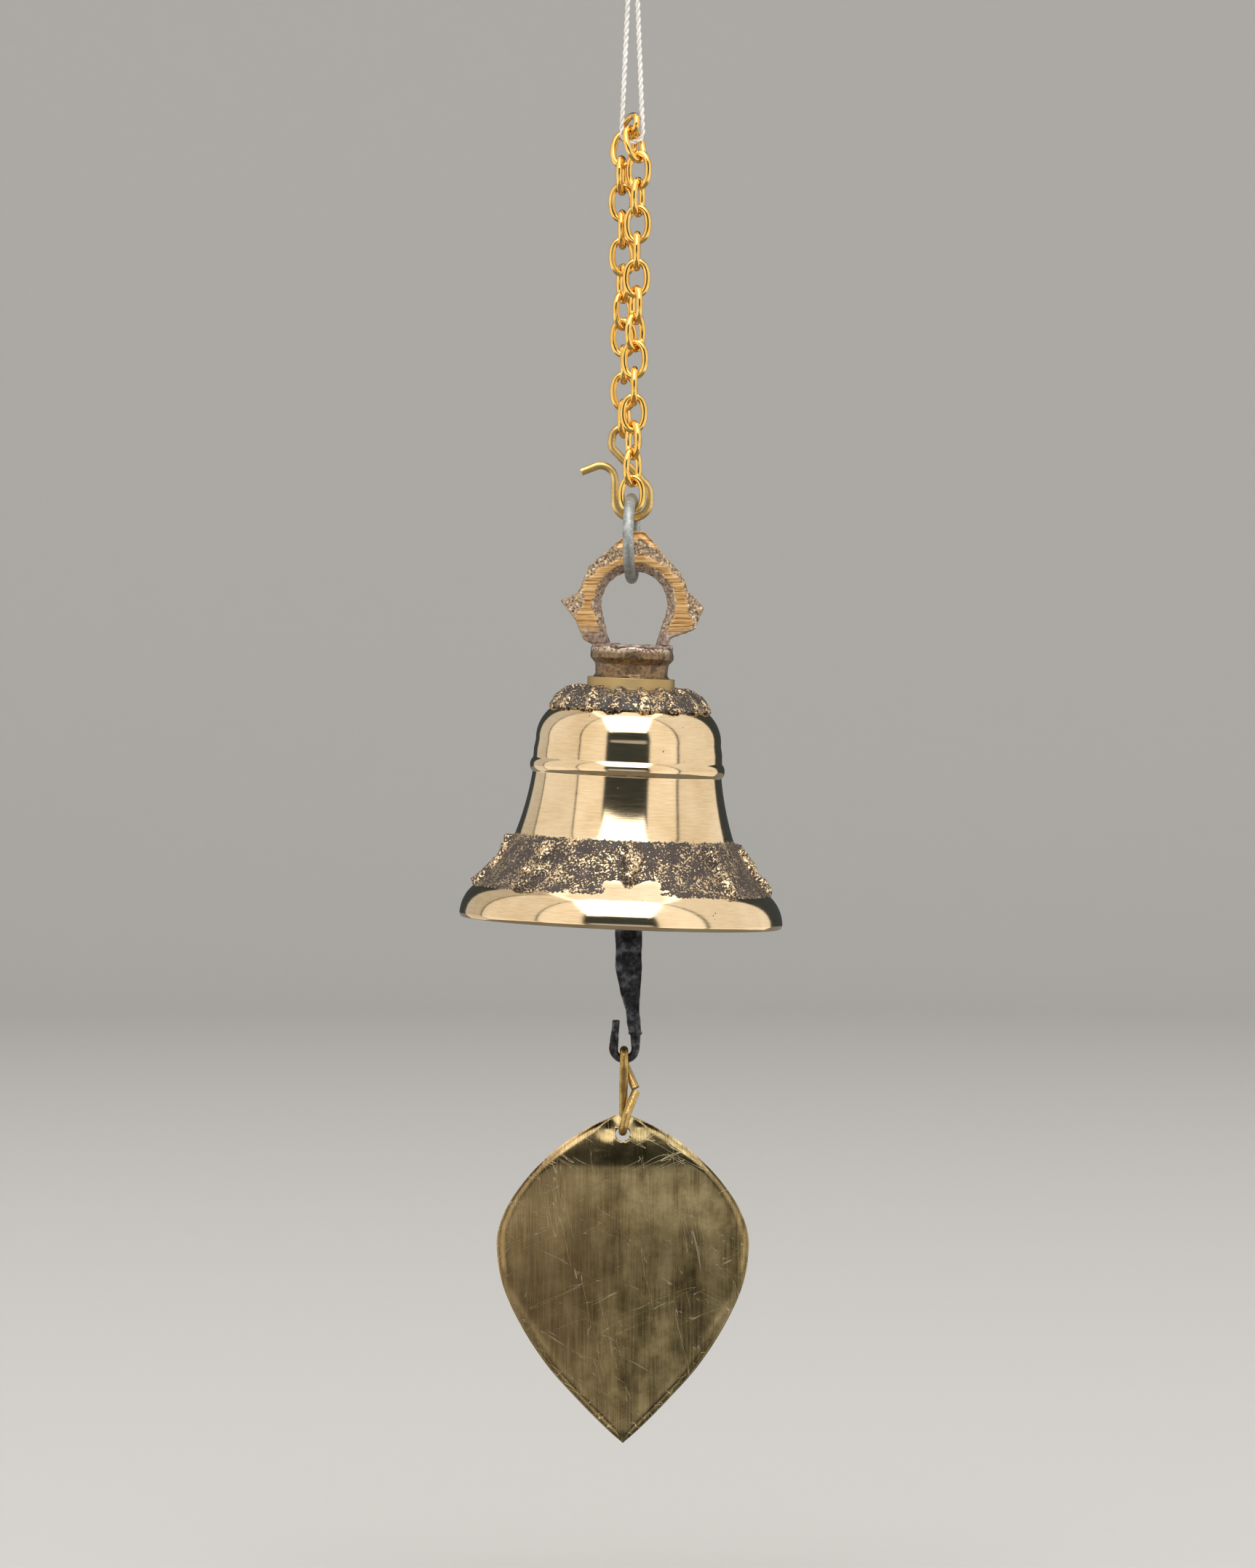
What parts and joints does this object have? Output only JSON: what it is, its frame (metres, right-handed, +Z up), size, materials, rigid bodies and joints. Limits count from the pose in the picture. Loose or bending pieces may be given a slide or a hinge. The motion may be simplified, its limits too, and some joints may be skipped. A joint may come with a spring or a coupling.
{
  "type": "temple bell",
  "caption": "Small flared brass temple bell with a filed crown loop, hung by a doubled oval-link chain and thread, with a flat iron clapper and a leaf-shaped wind catcher.",
  "frame": {"origin": "the knot that ties the thread loop, where the bell is hung", "axes": "+Z up along the hanging line, +X to the right seen from the front, +Y to the back"},
  "size_m": [0.0501, 0.05, 0.234],
  "materials": {
    "thread": "white twisted two-ply",
    "gold_plate": "bright yellow plated wire",
    "hook_brass": "satin brass wire",
    "iron": "dull grey iron",
    "bell_brass": "polished cast brass with dark relief bands",
    "filed_copper": "rough cast brass, filed bright in front",
    "collar_brass": "heat-stained turned brass",
    "braze": "whitish braze",
    "forged_iron": "black forged iron",
    "link_brass": "dull brass wire",
    "leaf_brass": "scratched sheet brass"
  },
  "bodies": {
    "thread": {"hanging_thread": "thread", "thread_knot": "thread"},
    "top_link": {"top_chain_link": "gold_plate"},
    "front_01": {"front_link_01": "gold_plate"},
    "front_02": {"front_link_02": "gold_plate"},
    "front_03": {"front_link_03": "gold_plate"},
    "front_04": {"front_link_04": "gold_plate"},
    "front_05": {"front_link_05": "gold_plate"},
    "front_06": {"front_link_06": "gold_plate"},
    "front_07": {"front_link_07": "gold_plate"},
    "front_08": {"front_link_08": "gold_plate"},
    "front_09": {"front_link_09": "gold_plate"},
    "front_10": {"front_link_10": "gold_plate"},
    "front_11": {"front_link_11": "gold_plate"},
    "front_12": {"front_link_12": "gold_plate"},
    "front_13": {"front_link_13": "gold_plate"},
    "front_14": {"front_link_14": "gold_plate"},
    "back_01": {"back_link_01": "gold_plate"},
    "back_02": {"back_link_02": "gold_plate"},
    "back_03": {"back_link_03": "gold_plate"},
    "back_04": {"back_link_04": "gold_plate"},
    "back_05": {"back_link_05": "gold_plate"},
    "back_06": {"back_link_06": "gold_plate"},
    "back_07": {"back_link_07": "gold_plate"},
    "back_08": {"back_link_08": "gold_plate"},
    "back_09": {"back_link_09": "gold_plate"},
    "back_10": {"back_link_10": "gold_plate"},
    "back_11": {"back_link_11": "gold_plate"},
    "s_hook": {"s_hook": "hook_brass"},
    "iron_ring": {"iron_ring": "iron"},
    "bell": {"bell_shell": "bell_brass", "crown_collar": "collar_brass", "braze_bed": "braze", "crown_loop": "filed_copper", "clapper_staple": "forged_iron"},
    "clapper": {"clapper": "forged_iron"},
    "leaf_link": {"leaf_link": "link_brass"},
    "leaf": {"leaf": "leaf_brass"}
  },
  "joints": [
    {"name": "top_link_rock", "type": "hinge", "parent": "thread", "child": "top_link", "pos_m": [-0.00013, -0.00014, -0.02989], "axis": [1, 0, 0], "range_deg": [-4, 4]},
    {"name": "front_01_hinge", "type": "hinge", "parent": "top_link", "child": "front_01", "pos_m": [-0.00017, -0.00019, -0.02881], "axis": [1, 0, 0], "range_deg": [-3, 3]},
    {"name": "front_02_hinge", "type": "hinge", "parent": "front_01", "child": "front_02", "pos_m": [0.00091, -0.00083, -0.03277], "axis": [0, 1, 0], "range_deg": [-3, 3]},
    {"name": "front_03_hinge", "type": "hinge", "parent": "front_02", "child": "front_03", "pos_m": [0.00082, -0.00091, -0.03693], "axis": [-1, 0, 0], "range_deg": [-3, 3]},
    {"name": "front_04_hinge", "type": "hinge", "parent": "front_03", "child": "front_04", "pos_m": [0.00073, -0.001, -0.04109], "axis": [0, -1, 0], "range_deg": [-3, 3]},
    {"name": "front_05_hinge", "type": "hinge", "parent": "front_04", "child": "front_05", "pos_m": [0.00065, -0.00108, -0.04525], "axis": [1, 0, 0], "range_deg": [-3, 3]},
    {"name": "front_06_hinge", "type": "hinge", "parent": "front_05", "child": "front_06", "pos_m": [0.00056, -0.00116, -0.04941], "axis": [0, 1, 0], "range_deg": [-3, 3]},
    {"name": "front_07_hinge", "type": "hinge", "parent": "front_06", "child": "front_07", "pos_m": [0.00047, -0.00124, -0.05357], "axis": [-1, 0, 0], "range_deg": [-3, 3]},
    {"name": "front_08_hinge", "type": "hinge", "parent": "front_07", "child": "front_08", "pos_m": [0.00039, -0.00132, -0.05772], "axis": [0, -1, 0], "range_deg": [-3, 3]},
    {"name": "front_09_hinge", "type": "hinge", "parent": "front_08", "child": "front_09", "pos_m": [0.0003, -0.0014, -0.06188], "axis": [1, 0, 0], "range_deg": [-3, 3]},
    {"name": "front_10_hinge", "type": "hinge", "parent": "front_09", "child": "front_10", "pos_m": [0.00021, -0.00148, -0.06604], "axis": [0, 1, 0], "range_deg": [-3, 3]},
    {"name": "front_11_hinge", "type": "hinge", "parent": "front_10", "child": "front_11", "pos_m": [0.00013, -0.00156, -0.0702], "axis": [-1, 0, 0], "range_deg": [-3, 3]},
    {"name": "front_12_hinge", "type": "hinge", "parent": "front_11", "child": "front_12", "pos_m": [0.00004, -0.00165, -0.07436], "axis": [0, -1, 0], "range_deg": [-3, 3]},
    {"name": "front_13_hinge", "type": "hinge", "parent": "front_12", "child": "front_13", "pos_m": [-0.00005, -0.00173, -0.07852], "axis": [1, 0, 0], "range_deg": [-1, 3]},
    {"name": "front_14_hinge", "type": "hinge", "parent": "front_13", "child": "front_14", "pos_m": [-0.00013, -0.00181, -0.08267], "axis": [0, 1, 0], "range_deg": [-3, 3]},
    {"name": "back_01_hinge", "type": "hinge", "parent": "top_link", "child": "back_01", "pos_m": [-0.00115, 0.00181, -0.02942], "axis": [1, 0, 0], "range_deg": [-3, 3]},
    {"name": "back_02_hinge", "type": "hinge", "parent": "back_01", "child": "back_02", "pos_m": [-0.00172, 0.00105, -0.03346], "axis": [0, 1, 0], "range_deg": [-3, 3]},
    {"name": "back_03_hinge", "type": "hinge", "parent": "back_02", "child": "back_03", "pos_m": [-0.00169, 0.00125, -0.03762], "axis": [-1, 0, 0], "range_deg": [-3, 3]},
    {"name": "back_04_hinge", "type": "hinge", "parent": "back_03", "child": "back_04", "pos_m": [-0.00165, 0.00145, -0.04177], "axis": [0, -1, 0], "range_deg": [-3, 3]},
    {"name": "back_05_hinge", "type": "hinge", "parent": "back_04", "child": "back_05", "pos_m": [-0.00161, 0.00165, -0.04593], "axis": [1, 0, 0], "range_deg": [-3, 3]},
    {"name": "back_06_hinge", "type": "hinge", "parent": "back_05", "child": "back_06", "pos_m": [-0.00157, 0.00185, -0.05008], "axis": [0, 1, 0], "range_deg": [-3, 3]},
    {"name": "back_07_hinge", "type": "hinge", "parent": "back_06", "child": "back_07", "pos_m": [-0.00153, 0.00205, -0.05424], "axis": [-1, 0, 0], "range_deg": [-3, 3]},
    {"name": "back_08_hinge", "type": "hinge", "parent": "back_07", "child": "back_08", "pos_m": [-0.00149, 0.00225, -0.05839], "axis": [0, -1, 0], "range_deg": [-3, 3]},
    {"name": "back_09_hinge", "type": "hinge", "parent": "back_08", "child": "back_09", "pos_m": [-0.00145, 0.00245, -0.06255], "axis": [1, 0, 0], "range_deg": [-3, 3]},
    {"name": "back_10_hinge", "type": "hinge", "parent": "back_09", "child": "back_10", "pos_m": [-0.00141, 0.00265, -0.0667], "axis": [0, 1, 0], "range_deg": [-3, 3]},
    {"name": "back_11_hinge", "type": "hinge", "parent": "back_10", "child": "back_11", "pos_m": [-0.00137, 0.00285, -0.07086], "axis": [-1, 0, 0], "range_deg": [-3, 3]},
    {"name": "hook_hinge", "type": "hinge", "parent": "back_11", "child": "s_hook", "pos_m": [-0.00133, 0.00305, -0.07501], "axis": [0, -1, 0], "range_deg": [-3, 3]},
    {"name": "ring_rock", "type": "hinge", "parent": "front_14", "child": "iron_ring", "pos_m": [-0.00022, -0.00189, -0.08683], "axis": [-1, 0, 0], "range_deg": [-3, 3]},
    {"name": "bell_swing", "type": "hinge", "parent": "iron_ring", "child": "bell", "pos_m": [-0.0002, 0, -0.09716], "axis": [0, 1, 0], "range_deg": [-12, 12]},
    {"name": "clapper_swing", "type": "hinge", "parent": "bell", "child": "clapper", "pos_m": [-0.00065, 0, -0.12148], "axis": [1, 0, 0], "range_deg": [-25, 25]},
    {"name": "wire_link_swing", "type": "hinge", "parent": "clapper", "child": "leaf_link", "pos_m": [-0.00137, 0, -0.17146], "axis": [1, 0, 0], "range_deg": [-25, 25]},
    {"name": "leaf_swing", "type": "hinge", "parent": "leaf_link", "child": "leaf", "pos_m": [-0.00157, 0, -0.18268], "axis": [0, 1, 0], "range_deg": [-20, 20]}
  ],
  "couplings": [
    {"joint": "back_01_hinge", "follows": "front_01_hinge", "ratio": 1},
    {"joint": "back_02_hinge", "follows": "front_02_hinge", "ratio": 1},
    {"joint": "back_03_hinge", "follows": "front_03_hinge", "ratio": 1},
    {"joint": "back_04_hinge", "follows": "front_04_hinge", "ratio": 1},
    {"joint": "back_05_hinge", "follows": "front_05_hinge", "ratio": 1},
    {"joint": "back_06_hinge", "follows": "front_06_hinge", "ratio": 1},
    {"joint": "back_07_hinge", "follows": "front_07_hinge", "ratio": 1},
    {"joint": "back_08_hinge", "follows": "front_08_hinge", "ratio": 1},
    {"joint": "back_09_hinge", "follows": "front_09_hinge", "ratio": 1},
    {"joint": "back_10_hinge", "follows": "front_10_hinge", "ratio": 1},
    {"joint": "back_11_hinge", "follows": "front_11_hinge", "ratio": 1},
    {"joint": "hook_hinge", "follows": "front_12_hinge", "ratio": 1}
  ]
}
